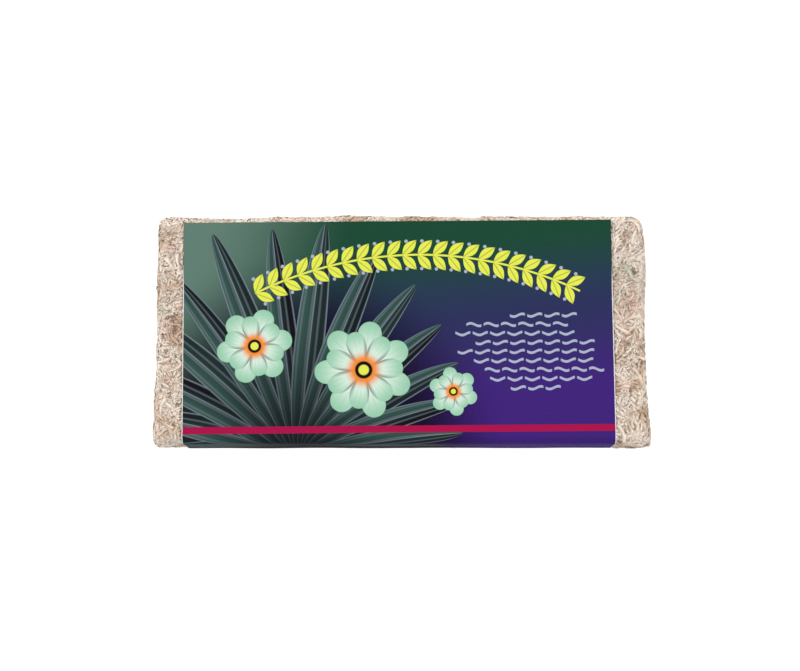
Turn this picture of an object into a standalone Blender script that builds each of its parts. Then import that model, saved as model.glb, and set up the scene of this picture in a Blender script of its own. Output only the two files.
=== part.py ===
"""A pressed brick of dried sphagnum moss with a printed card folded over its face.

The brick lies on its back. +X runs along its length, +Y points away from the edge that the card is
folded over, and +Z points up, out of the face that the card covers. The origin is under the middle of
the brick, on the surface that it lies on. Every value is in metres, and every angle is in degrees.
"""

import math
import random
from dataclasses import dataclass

import bmesh
import bpy
from mathutils import Matrix, Vector, noise
from mathutils.bvhtree import BVHTree

# The pressed block, before its shoots are laid on
BLOCK_LENGTH = 0.198
BLOCK_DEPTH = 0.0926
BLOCK_BASE = 0.0007
FACE_LEVEL = 0.0256
EDGE_RADIUS = 0.003
CELL_SIZE = 0.024
SWELL_HEIGHT = 0.0009
SWELL_SPACING = 0.04

# The moss shoots pressed into the block
SIZE_SPREAD = (0.8, 1.25)
SHOOT_RISES = (0.0006, 0.0011)
SHOOT_SINK = 0.0003
SHOOT_STEPS = 5
SHOOT_CURL = 0.3
SHOOT_TAPER = 0.6
TIP_SHARE = 0.05
LEAF_NOTCH = 0.6
LEAF_SWEEP = 0.3
PLACE_SPREAD = (0.2, 0.8)

PROBE_DISTANCE = 0.004

# The broad shoots under the brick, which carry it
BEARER_LENGTH = 0.036
BEARER_WIDTH = 0.012
BEARER_RISE = 0.0016
BEARER_TURN = 28.0
BEARER_PLACES = ((0.0, 0.0), (-0.07, -0.028), (-0.066, 0.03), (0.068, -0.03), (0.071, 0.027))

# The printed card
CARD_THICKNESS = 0.0004
CARD_GAP = 0.0003
CARD_LEFT_MARGIN = 0.0108
CARD_RIGHT_MARGIN = 0.0131
CARD_FAR_MARGIN = 0.0023
CARD_TURN = 0.45
CARD_SIDE_DROP = 0.0215
CARD_COLUMNS = 4
FOLD_STEPS = 6
HEADROOM = 0.004

# The flat underside, pressed level with the surface that the brick lies on
PRESS_MARGIN = 0.02
PRESS_DEPTH = 0.01

# Colours and roughness
MOSS_COLOUR = (0.58, 0.49, 0.39)
MOSS_ROUGHNESS = 0.95
CARD_COLOUR = (0.1, 0.12, 0.2)
CARD_ROUGHNESS = 0.4

SEED = 41
X_AXIS = Vector((1.0, 0.0, 0.0))
Y_AXIS = Vector((0.0, 1.0, 0.0))
Z_AXIS = Vector((0.0, 0.0, 1.0))

# Worked out from the sizes above
BLOCK_HEIGHT = FACE_LEVEL - BLOCK_BASE
BLOCK_MIDDLE = Vector((0.0, 0.0, BLOCK_BASE + BLOCK_HEIGHT / 2))
BLOCK_HALF = Vector((BLOCK_LENGTH / 2, BLOCK_DEPTH / 2, BLOCK_HEIGHT / 2))
INNER_HALF = BLOCK_HALF - Vector((EDGE_RADIUS, EDGE_RADIUS, EDGE_RADIUS))
CARD_LEFT = -BLOCK_HALF.x + CARD_LEFT_MARGIN
CARD_RIGHT = BLOCK_HALF.x - CARD_RIGHT_MARGIN
CARD_FAR = BLOCK_HALF.y - CARD_FAR_MARGIN
CARD_MIDDLE = (CARD_LEFT + CARD_RIGHT) / 2


@dataclass(frozen=True)
class MossPatch:
    """A stretch of one side that is covered with shoots, laid out in rows."""

    centre: Vector
    outward: Vector
    heading: Vector
    span: float
    reach: float
    columns: int
    rows: int
    spread: float
    shoot_length: float
    shoot_width: float


@dataclass(frozen=True)
class Shoot:
    """One flattened moss shoot that lies on a side of the block, or lifts off it."""

    centre: Vector
    outward: Vector
    heading: Vector
    length: float
    width: float
    rise: float
    curl: float
    lift: float = 0.0


def empty_scene():
    """Take every object out of the scene."""
    for old in list(bpy.data.objects):
        bpy.data.objects.remove(old, do_unlink=True)


def new_collection(name):
    """A new collection, linked into the scene."""
    collection = bpy.data.collections.new(name)
    bpy.context.scene.collection.children.link(collection)
    return collection


def new_material(name, colour, roughness):
    """A plain material of one colour."""
    material = bpy.data.materials.new(name)
    material.use_nodes = True
    shader = material.node_tree.nodes["Principled BSDF"]
    shader.inputs["Base Color"].default_value = (*colour, 1.0)
    shader.inputs["Roughness"].default_value = roughness
    shader.inputs["Metallic"].default_value = 0.0
    return material


def new_object(name, shape, collection):
    """An object that holds a bmesh, which is used up."""
    mesh = bpy.data.meshes.new(name)
    shape.to_mesh(mesh)
    shape.free()
    made = bpy.data.objects.new(name, mesh)
    collection.objects.link(made)
    return made


def apply_modifiers(target):
    """Replace an object's mesh by the one that its modifiers make."""
    graph = bpy.context.evaluated_depsgraph_get()
    finished = bpy.data.meshes.new_from_object(target.evaluated_get(graph))
    target.modifiers.clear()
    target.data = finished


def cut_into_steps(shape, axis, low, high, steps):
    """Cut a shape by evenly spaced planes across one axis."""
    normal = Vector((0.0, 0.0, 0.0))
    normal[axis] = 1.0
    for step in range(1, steps):
        place = normal * (low + (high - low) * step / steps)
        parts = shape.verts[:] + shape.edges[:] + shape.faces[:]
        bmesh.ops.bisect_plane(shape, geom=parts, plane_co=place, plane_no=normal)


def nearest_on_block(point):
    """The nearest place on the rounded block to a point outside it, and the way out there."""
    offset = point - BLOCK_MIDDLE
    inner = Vector([max(-half, min(half, value)) for value, half in zip(offset, INNER_HALF)])
    outward = (offset - inner).normalized()
    return BLOCK_MIDDLE + inner + outward * EDGE_RADIUS, outward


def wrapped_on_block(point, side):
    """Where a point of a side's plane comes to lie when the plane is bent round the block."""
    offset = point - BLOCK_MIDDLE
    inner = Vector([max(-half, min(half, value)) for value, half in zip(offset, INNER_HALF)])
    beyond = offset - inner
    beyond -= side * beyond.dot(side)
    distance = beyond.length
    if distance == 0.0:
        return BLOCK_MIDDLE + inner + side * EDGE_RADIUS, side
    angle = min(distance / EDGE_RADIUS, math.pi / 2)
    outward = side * math.cos(angle) + beyond.normalized() * math.sin(angle)
    drop = max(0.0, distance - EDGE_RADIUS * math.pi / 2)
    return BLOCK_MIDDLE + inner + outward * EDGE_RADIUS - side * drop, outward


def swell(place):
    """How far the pressed moss stands out of the plain block at a place."""
    return SWELL_HEIGHT * noise.noise(place / SWELL_SPACING)


def make_block(collection):
    """The block itself: a box with round edges, slightly uneven all over."""
    shape = bmesh.new()
    bmesh.ops.create_cube(shape, size=2.0)
    bmesh.ops.scale(shape, vec=BLOCK_HALF, verts=shape.verts)
    bmesh.ops.translate(shape, vec=BLOCK_MIDDLE, verts=shape.verts)
    for axis in range(3):
        steps = max(2, round(2 * INNER_HALF[axis] / CELL_SIZE))
        reach = INNER_HALF[axis] * (1 + 2 / steps)
        low = BLOCK_MIDDLE[axis] - reach
        high = BLOCK_MIDDLE[axis] + reach
        cut_into_steps(shape, axis, low, high, steps + 2)
    for vertex in shape.verts:
        place, outward = nearest_on_block(vertex.co)
        vertex.co = place + outward * swell(place)
    bmesh.ops.triangulate(shape, faces=shape.faces)
    return new_object("moss_brick", shape, collection)


def shoot_blank():
    """A straight three-sided rod along X, one unit long, with its ridge towards +Y."""
    shape = bmesh.new()
    bmesh.ops.create_cone(shape, cap_ends=True, segments=3, radius1=1.0, radius2=1.0, depth=1.0)
    turn = Z_AXIS.rotation_difference(X_AXIS).to_matrix()
    bmesh.ops.rotate(shape, cent=(0.0, 0.0, 0.0), matrix=turn, verts=shape.verts)
    cut_into_steps(shape, 0, -0.5, 0.5, SHOOT_STEPS)
    return shape


def lay_shoot(shoot, surface, collection):
    """Bend a blank along the block's surface, with a notched edge for its leaves."""
    shape = shoot_blank()
    sideways = shoot.outward.cross(shoot.heading)
    for vertex in shape.verts:
        step = round((vertex.co.x + 0.5) * SHOOT_STEPS)
        along = step / SHOOT_STEPS
        at_end = step in (0, SHOOT_STEPS)
        taper = math.sin(math.pi * (TIP_SHARE + (1 - 2 * TIP_SHARE) * along)) ** SHOOT_TAPER
        notch = LEAF_NOTCH if step % 2 == 0 else 1.0
        ahead = (along - 0.5) * shoot.length
        aside = shoot.curl * ahead * ahead / shoot.length
        height = -SHOOT_SINK if at_end else shoot.rise * taper
        if vertex.co.y < 0.0:
            aside += math.copysign(shoot.width / 2 * taper * notch, vertex.co.z)
            ahead += LEAF_SWEEP * shoot.length / SHOOT_STEPS * (step % 2)
            height = -SHOOT_SINK * 2 if at_end else -SHOOT_SINK
        flat = shoot.centre + shoot.heading * ahead + sideways * aside
        place, outward = wrapped_on_block(flat, shoot.outward)
        place = surface.ray_cast(place + outward * PROBE_DISTANCE, -outward)[0]
        vertex.co = place + outward * (height + shoot.lift * along * along)
    bmesh.ops.triangulate(shape, faces=shape.faces)
    return new_object("shoot", shape, collection)


def moss_patches():
    """Every stretch of the block that shows moss.

    Each row gives the stretch's middle, the way out of it, the way that its shoots mostly run, its
    size that way and across, its columns and rows of shoots, how far they turn, and their length
    and width.
    """
    half = BLOCK_HALF
    level = BLOCK_MIDDLE.z
    length = BLOCK_LENGTH
    depth = BLOCK_DEPTH
    height = BLOCK_HEIGHT
    width = CARD_RIGHT - CARD_LEFT
    left_strip = CARD_LEFT + half.x
    right_strip = half.x - CARD_RIGHT
    far_strip = half.y - CARD_FAR
    low_band = FACE_LEVEL - CARD_SIDE_DROP - BLOCK_BASE
    left = Vector((CARD_LEFT - left_strip / 2, 0.0, FACE_LEVEL))
    right = Vector((CARD_RIGHT + right_strip / 2, 0.0, FACE_LEVEL))
    far = Vector((CARD_MIDDLE, half.y - far_strip / 2, FACE_LEVEL))
    back = Vector((0.0, 0.0, BLOCK_BASE))
    left_end = Vector((-half.x, 0.0, level))
    right_end = Vector((half.x, 0.0, level))
    far_side = Vector((0.0, half.y, level))
    near_left = Vector((left.x, -half.y, level))
    near_right = Vector((right.x, -half.y, level))
    near_low = Vector((0.0, -half.y, BLOCK_BASE + low_band / 2))
    return (
        MossPatch(left, Z_AXIS, Y_AXIS, depth, left_strip, 9, 2, 40, 0.016, 0.0062),
        MossPatch(right, Z_AXIS, Y_AXIS, depth, right_strip, 9, 2, 40, 0.018, 0.0066),
        MossPatch(far, Z_AXIS, X_AXIS, width, far_strip, 8, 1, 8, 0.024, 0.0058),
        MossPatch(back, -Z_AXIS, X_AXIS, length, depth, 9, 5, 90, 0.030, 0.0100),
        MossPatch(right_end, X_AXIS, Y_AXIS, depth, height, 4, 3, 14, 0.028, 0.0080),
        MossPatch(left_end, -X_AXIS, Y_AXIS, depth, height, 4, 3, 14, 0.028, 0.0080),
        MossPatch(far_side, Y_AXIS, X_AXIS, length, height, 8, 3, 12, 0.032, 0.0080),
        MossPatch(near_left, -Y_AXIS, X_AXIS, left_strip, height, 1, 3, 16, 0.016, 0.0070),
        MossPatch(near_right, -Y_AXIS, X_AXIS, right_strip, height, 1, 3, 16, 0.018, 0.0070),
        MossPatch(near_low, -Y_AXIS, X_AXIS, width, low_band, 6, 1, 6, 0.034, 0.0060),
    )


def patch_shoots(patch, draw):
    """The shoots of one patch: one in each cell of its layout, each a little out of line."""
    sideways = patch.outward.cross(patch.heading)
    for column in range(patch.columns):
        for row in range(patch.rows):
            ahead = ((column + draw.uniform(*PLACE_SPREAD)) / patch.columns - 0.5) * patch.span
            aside = ((row + draw.uniform(*PLACE_SPREAD)) / patch.rows - 0.5) * patch.reach
            turn = math.radians(draw.uniform(-patch.spread, patch.spread))
            if draw.random() < 0.5:
                turn += math.pi
            heading = patch.heading.copy()
            heading.rotate(Matrix.Rotation(turn, 3, patch.outward))
            yield Shoot(
                centre=patch.centre + patch.heading * ahead + sideways * aside,
                outward=patch.outward,
                heading=heading,
                length=patch.shoot_length * draw.uniform(*SIZE_SPREAD),
                width=patch.shoot_width * draw.uniform(*SIZE_SPREAD),
                rise=draw.uniform(*SHOOT_RISES),
                curl=draw.uniform(-SHOOT_CURL, SHOOT_CURL),
            )


def loose_tufts():
    """Shoots that have come partly away from the block and break its outline.

    Each row gives the shoot's middle, the way out, the way that it runs, its length, width, rise
    and curl, and how far its tip stands off.
    """
    end = BLOCK_HALF.x
    side = BLOCK_HALF.y
    return (
        Shoot(Vector((end, -0.036, 0.0175)), X_AXIS, -Y_AXIS, 0.017, 0.0085, 0.0012, 0.1, 0.0032),
        Shoot(Vector((-end, -0.023, 0.019)), -X_AXIS, -Y_AXIS, 0.012, 0.007, 0.001, 0.1, 0.0013),
        Shoot(Vector((0.05, side, 0.016)), Y_AXIS, X_AXIS, 0.02, 0.006, 0.001, 0.2, 0.0008),
        Shoot(Vector((-0.06, side, 0.01)), Y_AXIS, -X_AXIS, 0.018, 0.007, 0.001, -0.2, 0.0009),
        Shoot(Vector((-end, 0.03, 0.008)), -X_AXIS, Y_AXIS, 0.014, 0.006, 0.001, 0.2, 0.0009),
    )


def bearers(draw):
    """The broad shoots that the brick lies on, spread round its middle."""
    for x, y in BEARER_PLACES:
        heading = X_AXIS.copy()
        turn = math.radians(draw.uniform(-BEARER_TURN, BEARER_TURN))
        heading.rotate(Matrix.Rotation(turn, 3, Z_AXIS))
        centre = Vector((x, y, BLOCK_BASE))
        yield Shoot(centre, -Z_AXIS, heading, BEARER_LENGTH, BEARER_WIDTH, BEARER_RISE, 0.0)


def join_shoots(block, shoots):
    """Fuse a collection of shoots into the block, and take the loose ones away."""
    union = block.modifiers.new("Shoots", "BOOLEAN")
    union.operation = "UNION"
    union.operand_type = "COLLECTION"
    union.collection = shoots
    union.solver = "EXACT"
    apply_modifiers(block)
    for shoot in list(shoots.objects):
        bpy.data.objects.remove(shoot, do_unlink=True)
    bpy.data.collections.remove(shoots)


def cut_away(target, cutter):
    """Cut one object's volume out of another, and hide the cutter."""
    cutter.hide_render = True
    cutter.display_type = "WIRE"
    cut = target.modifiers.new(cutter.name, "BOOLEAN")
    cut.operation = "DIFFERENCE"
    cut.solver = "EXACT"
    cut.object = cutter


def folded_over_edge(place, height):
    """A place on a flat sheet above the face, once the sheet is folded down over the near side."""
    radius = EDGE_RADIUS + height
    beyond = max(0.0, -INNER_HALF.y - place.y)
    angle = min(beyond / radius, math.pi / 2)
    drop = max(0.0, beyond - radius * math.pi / 2)
    y = max(place.y, -INNER_HALF.y) - radius * math.sin(angle)
    z = FACE_LEVEL - EDGE_RADIUS + radius * math.cos(angle) - drop
    return Vector((place.x, y, z))


def folded_sheet(name, collection, clearance, height, thickness):
    """A sheet of the card's outline and a border, laid a height above the face and folded."""
    far = CARD_FAR + clearance
    fold = (EDGE_RADIUS + height) * math.pi / 2
    rows = [far]
    rows += [-INNER_HALF.y - fold * step / FOLD_STEPS for step in range(FOLD_STEPS + 1)]
    rows.append(rows[-1] - CARD_SIDE_DROP + EDGE_RADIUS - clearance)
    half_width = (CARD_RIGHT - CARD_LEFT) / 2 + clearance
    turn = Matrix.Rotation(math.radians(CARD_TURN), 3, "Z")
    shape = bmesh.new()
    bmesh.ops.create_grid(shape, x_segments=CARD_COLUMNS, y_segments=len(rows) - 1, size=1.0)
    for vertex in shape.verts:
        row = round((1.0 - vertex.co.y) / 2 * (len(rows) - 1))
        flat = turn @ Vector((vertex.co.x * half_width, rows[row], 0.0))
        vertex.co = folded_over_edge(flat + X_AXIS * CARD_MIDDLE, height)
    sheet = new_object(name, shape, collection)
    shell = sheet.modifiers.new("Thickness", "SOLIDIFY")
    shell.thickness = thickness
    shell.offset = 1.0
    shell.use_even_offset = True
    return sheet


def make_press(collection):
    """The level surface that the brick's underside is pressed flat against."""
    shape = bmesh.new()
    bmesh.ops.create_cube(shape, size=1.0)
    size = Vector((BLOCK_LENGTH + PRESS_MARGIN, BLOCK_DEPTH + PRESS_MARGIN, PRESS_DEPTH))
    bmesh.ops.scale(shape, vec=size, verts=shape.verts)
    bmesh.ops.translate(shape, vec=(0.0, 0.0, -PRESS_DEPTH / 2), verts=shape.verts)
    return new_object("press", shape, collection)


def make_brick(parts, cutters):
    """The moss brick: the block with its shoots, a seat for the card and a flat underside."""
    brick = make_block(parts)
    surface = BVHTree.FromObject(brick, bpy.context.evaluated_depsgraph_get())
    draw = random.Random(SEED)
    shoots = new_collection("shoots")
    for patch in moss_patches():
        for shoot in patch_shoots(patch, draw):
            lay_shoot(shoot, surface, shoots)
    for shoot in (*loose_tufts(), *bearers(draw)):
        lay_shoot(shoot, surface, shoots)
    join_shoots(brick, shoots)
    cut_away(brick, folded_sheet("card_space", cutters, CARD_GAP, -CARD_GAP, HEADROOM))
    cut_away(brick, make_press(cutters))
    brick.data.materials.append(new_material("dried_moss", MOSS_COLOUR, MOSS_ROUGHNESS))


def main():
    """Build the brick and its card."""
    empty_scene()
    parts = new_collection("sphagnum_moss_brick")
    cutters = new_collection("cutters")
    make_brick(parts, cutters)
    card = folded_sheet("label_card", parts, 0.0, 0.0, CARD_THICKNESS)
    card.data.materials.append(new_material("printed_card", CARD_COLOUR, CARD_ROUGHNESS))


if __name__ == "__main__":
    main()
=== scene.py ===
"""Looks of a pressed brick of dried sphagnum moss with a printed card folded over its face.

The brick lies on its back on a pale floor. Matted moss shoots are laid over a felted body and bent
round its edges, and the card is a thin sheet with its own print. Every size is in metres unless a
name says otherwise.
"""

from __future__ import annotations

import logging
import math
import random
from dataclasses import dataclass, field
from enum import Enum
from typing import Iterable

import bmesh
import bpy
import numpy as np
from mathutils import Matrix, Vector, noise

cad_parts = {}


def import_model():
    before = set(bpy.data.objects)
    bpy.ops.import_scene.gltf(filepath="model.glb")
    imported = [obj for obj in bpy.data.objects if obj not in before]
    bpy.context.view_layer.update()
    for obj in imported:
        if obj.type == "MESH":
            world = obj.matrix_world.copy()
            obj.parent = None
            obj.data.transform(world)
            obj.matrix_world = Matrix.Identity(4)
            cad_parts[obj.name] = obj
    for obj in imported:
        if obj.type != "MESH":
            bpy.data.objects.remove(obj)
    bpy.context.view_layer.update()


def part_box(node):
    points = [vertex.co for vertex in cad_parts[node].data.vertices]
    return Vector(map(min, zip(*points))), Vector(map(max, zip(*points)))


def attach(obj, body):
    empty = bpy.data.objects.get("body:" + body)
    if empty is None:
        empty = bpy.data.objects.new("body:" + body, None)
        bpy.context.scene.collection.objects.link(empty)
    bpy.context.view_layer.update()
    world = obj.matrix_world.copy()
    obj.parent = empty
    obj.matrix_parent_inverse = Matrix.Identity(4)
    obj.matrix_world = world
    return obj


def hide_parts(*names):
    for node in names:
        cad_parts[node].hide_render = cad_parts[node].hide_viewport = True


LOG = logging.getLogger("moss_brick")
Colour = tuple[float, float, float]
Tree = bpy.types.NodeTree


def srgb(red: int, green: int, blue: int) -> Colour:
    """A linear colour from its usual 0 to 255 values."""
    return tuple(((c / 255 + 0.055) / 1.055) ** 2.4 if c > 10 else c / 3294.6 for c in (red, green, blue))


class Reading:
    """A value that a node puts out. Numbers and vectors can be worked with like any others."""

    def __init__(self, graph: Graph, socket: bpy.types.NodeSocket) -> None:
        """Keep the graph and the socket."""
        self.graph, self.socket = graph, socket

    def worked(self, operation: str, other: Value) -> Reading:
        """This value and another, put through one operation."""
        work = self.graph.vector if self.socket.type == "VECTOR" else self.graph.math
        return work(operation, self, other)

    def __add__(self, other: Value) -> Reading:
        """The sum."""
        return self.worked("ADD", other)

    def __sub__(self, other: Value) -> Reading:
        """The difference."""
        return self.worked("SUBTRACT", other)

    def __rsub__(self, other: float) -> Reading:
        """What is left of a number."""
        return self.graph.math("SUBTRACT", other, self)

    def __mul__(self, other: Value) -> Reading:
        """The product, which for a vector is a longer or shorter one.

        Args:
            other: The number to multiply by.

        Returns:
            The product.
        """
        if self.socket.type == "VECTOR":
            return self.graph.read("ShaderNodeVectorMath", {0: self, "Scale": other}, operation="SCALE")
        return self.worked("MULTIPLY", other)

    def __truediv__(self, other: Value) -> Reading:
        """The quotient."""
        return self.worked("DIVIDE", other)

    def __pow__(self, other: Value) -> Reading:
        """The power."""
        return self.worked("POWER", other)

    def __abs__(self) -> Reading:
        """The size without the sign."""
        return self.graph.math("ABSOLUTE", self)


Value = Reading | float | tuple


class Graph:
    """Adds nodes to one node tree and joins them."""

    def __init__(self, tree: Tree) -> None:
        """Keep the tree."""
        self.tree = tree

    def feed(self, node: bpy.types.Node, sockets: dict) -> None:
        """Set a node's inputs.

        Args:
            node: The node.
            sockets: Values or readings for its inputs, by name or number.
        """
        for name, value in sockets.items():
            if isinstance(value, Reading):
                self.tree.links.new(value.socket, node.inputs[name])
            else:
                node.inputs[name].default_value = value

    def add(self, kind: str, sockets: dict | None = None, **settings) -> bpy.types.Node:
        """Add a node.

        Args:
            kind: The node's type name.
            sockets: Values or readings for its inputs, by name or number.
            settings: Values for its own properties.

        Returns:
            The node.
        """
        node = self.tree.nodes.new(kind)
        for name, value in settings.items():
            setattr(node, name, value)
        self.feed(node, sockets or {})
        return node

    def read(self, kind: str, sockets: dict | None = None, output: int | str = 0, **settings) -> Reading:
        """Add a node and read one of its outputs."""
        return Reading(self, self.add(kind, sockets, **settings).outputs[output])

    def readings(self, node: bpy.types.Node) -> dict[str, Reading]:
        """All that a node puts out, by name."""
        return {socket.name: Reading(self, socket) for socket in node.outputs}

    def math(self, operation: str, *values: Value, clamp: bool = False) -> Reading:
        """A number worked out from up to three others."""
        sockets = dict(enumerate(values))
        return self.read("ShaderNodeMath", sockets, operation=operation, use_clamp=clamp)

    def vector(self, operation: str, *values: Value) -> Reading:
        """A vector worked out from others, or a number where the operation gives one."""
        output = "Value" if operation in ("DOT_PRODUCT", "LENGTH", "DISTANCE") else 0
        return self.read("ShaderNodeVectorMath", dict(enumerate(values)), output, operation=operation)

    def parts(self, value: Value) -> list[Reading]:
        """The three numbers of a vector."""
        return list(self.readings(self.add("ShaderNodeSeparateXYZ", {0: value})).values())

    def mix(self, factor: Value, low: Value, high: Value) -> Reading:
        """A colour between two others."""
        sockets = {"Factor": factor, 6: opaque(low), 7: opaque(high)}
        return self.read("ShaderNodeMix", sockets, 2, data_type="RGBA")

    def tinted(self, colour: Value, *tints: tuple[Value, Value]) -> Value:
        """A colour with tints laid over it in turn.

        Args:
            colour: The colour.
            tints: The mask and the colour of each tint.

        Returns:
            The colour with the tints.
        """
        for mask, tint in tints:
            colour = self.mix(mask, colour, tint)
        return colour

    def ramp(self, value: Value, low: Value, high: Value) -> Reading:
        """How far a value has come from low to high, kept between 0 and 1."""
        sockets = {"Value": value, "From Min": low, "From Max": high}
        return self.read("ShaderNodeMapRange", sockets, interpolation_type="SMOOTHSTEP")

    def noise(self, place: Value, scale: Value, detail: float = 3.0, rough: float = 0.5) -> Reading:
        """A soft random value that changes over the surface."""
        sockets = {"Vector": place, "Scale": scale, "Detail": detail, "Roughness": rough}
        return self.read("ShaderNodeTexNoise", sockets)

    def group(self, tree: Tree, **values: Value) -> dict[str, Reading]:
        """Place a node group, with values for its inputs, and hand back its outputs."""
        return self.readings(self.add("ShaderNodeGroup", values, node_tree=tree))


def opaque(value: Value) -> Value:
    """A colour with full alpha, or the reading itself."""
    return (*value, 1.0) if isinstance(value, tuple) else value


class Surface(Graph):
    """The graph of one material, which ends in its Principled shader."""

    def __init__(self, name: str) -> None:
        """Make an empty material.

        Args:
            name: Its name.
        """
        self.material = bpy.data.materials.new(name)
        self.material.use_nodes = True
        super().__init__(self.material.node_tree)

    def place(self) -> Reading:
        """The place on the piece."""
        return self.read("ShaderNodeTexCoord", output="Object")

    def stored(self, name: str, output: str = "Fac") -> Reading:
        """A value that is stored on the mesh."""
        return self.read("ShaderNodeAttribute", output=output, attribute_name=name)

    def relief(self, height: Reading, strength: float, distance: float) -> Reading:
        """The normal of a fine relief."""
        return self.read("ShaderNodeBump", {"Height": height, "Strength": strength, "Distance": distance})

    def finish(self, sockets: dict) -> bpy.types.Material:
        """Set the shader's inputs and hand over the material."""
        self.feed(self.tree.nodes["Principled BSDF"], sockets)
        return self.material


class EffectGroup(Graph):
    """A shader node group of one effect or one motif of the print."""

    def __init__(self, name: str, vectors: Iterable[str], numbers: Iterable[str],
                 outputs: Iterable[str]) -> None:
        """Make the group's sockets.

        Args:
            name: The group's name.
            vectors: The names of the inputs that are vectors.
            numbers: The names of the inputs that are numbers.
            outputs: The names of the outputs.
        """
        super().__init__(bpy.data.node_groups.new(name, "ShaderNodeTree"))
        sockets = [(socket, "INPUT", "NodeSocketVector") for socket in vectors]
        sockets += [(socket, "INPUT", "NodeSocketFloat") for socket in numbers]
        sockets += [(socket, "OUTPUT", "NodeSocketFloat") for socket in outputs]
        for socket, way, kind in sockets:
            self.tree.interface.new_socket(socket, in_out=way, socket_type=kind)
        self.inputs = self.readings(self.add("NodeGroupInput"))

    def finish(self, **values: Value) -> Tree:
        """Join the outputs and hand over the group."""
        self.add("NodeGroupOutput", values)
        return self.tree

    def local(self) -> list[Reading]:
        """The distances along and across a motif, from its centre and in its own turn.

        Returns:
            The distance along it and the distance across it.
        """
        away = self.inputs["Place"] - self.inputs["Centre"]
        sockets = {"Vector": away, "Angle": self.inputs["Turn"] * -1.0}
        turned = self.read("ShaderNodeVectorRotate", sockets, rotation_type="Z_AXIS")
        return self.parts(turned)[:2]


def new_piece(name: str, mesh: bpy.types.Mesh, *finishes: bpy.types.Material) -> bpy.types.Object:
    """An object at the origin that holds a mesh.

    Args:
        name: The piece's name.
        mesh: Its mesh, with its place in its points.
        finishes: Its finishes, or none to leave those of the mesh as they are.

    Returns:
        The object.
    """
    piece = bpy.data.objects.new(name, mesh)
    bpy.context.scene.collection.objects.link(piece)
    for finish in finishes:
        mesh.materials.append(finish)
    return piece


def finished_mesh(piece: bpy.types.Object) -> bpy.types.Mesh:
    """The plain mesh that an object's modifiers make, under the object's name.

    Args:
        piece: The object, which isn't needed any more.

    Returns:
        The mesh.
    """
    graph = bpy.context.evaluated_depsgraph_get()
    mesh = bpy.data.meshes.new_from_object(piece.evaluated_get(graph))
    mesh.name = piece.name
    bpy.data.objects.remove(piece)
    return mesh


def dress(piece: bpy.types.Object, node: str) -> None:
    """Let a piece stand for a solid of the frame and ride with it.

    Args:
        piece: The finished piece.
        node: The solid that it replaces.
    """
    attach(piece, "root")
    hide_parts(node)
    LOG.info("%s: %d triangles", piece.name, sum(len(face.vertices) - 2 for face in piece.data.polygons))


def leaf_scale_group() -> Tree:
    """Small overlapping leaves, in rows that wind round a branch both ways.

    Returns:
        The node group.
    """
    group = EffectGroup("Leaf_Scales", ("Lengthwise",), ("Length",), ("Height",))
    out, across, up = group.parts(group.inputs["Lengthwise"])
    along = out / group.inputs["Length"] * math.tau
    around = group.math("ARCTAN2", up, across) * 2.0
    return group.finish(Height=group.math("SINE", along + around) * group.math("SINE", along - around))


def fibre_group() -> Tree:
    """Fine plant or paper fibres: their height, and a mask that is 0 in the gaps between them.

    Returns:
        The node group.
    """
    group = EffectGroup("Fibre_Grain", ("Place",), ("Scale",), ("Height", "Mask"))
    fibre = group.noise(group.inputs["Place"], group.inputs["Scale"], 4.0, 0.6)
    return group.finish(Height=fibre, Mask=group.ramp(fibre, 0.35, 0.65))


def patch_group() -> Tree:
    """Where dried moss is pinkish, greenish, browned or bleached, in soft blotches, or has dark crumbs.

    Returns:
        The node group.
    """
    group = EffectGroup("Moss_Patches", ("Place",), (), ("Pink", "Green", "Brown", "Bleached", "Crumbs"))
    place, ramp, noise_at = group.inputs["Place"], group.ramp, group.noise
    small = noise_at(place, 95.0, 3.0)
    crumbed = ramp(noise_at(place, 90.0, 1.0), 0.42, 0.56)
    return group.finish(
        Pink=ramp(noise_at(place, 55.0, 2.0), 0.48, 0.66),
        Green=ramp(noise_at(place, 38.0, 1.0), 0.54, 0.7),
        Brown=ramp(small, 0.53, 0.62),
        Bleached=ramp(small, 0.48, 0.39),
        Crumbs=ramp(noise_at(place, 300.0, 2.0, 0.6), 0.59, 0.65) * crumbed,
    )


class Side(Enum):
    """The sides of the brick that show moss."""

    FRONT = "front"
    ENDS = "ends"
    FAR = "far_side"
    NEAR = "near_side"
    BACK = "back"


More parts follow.
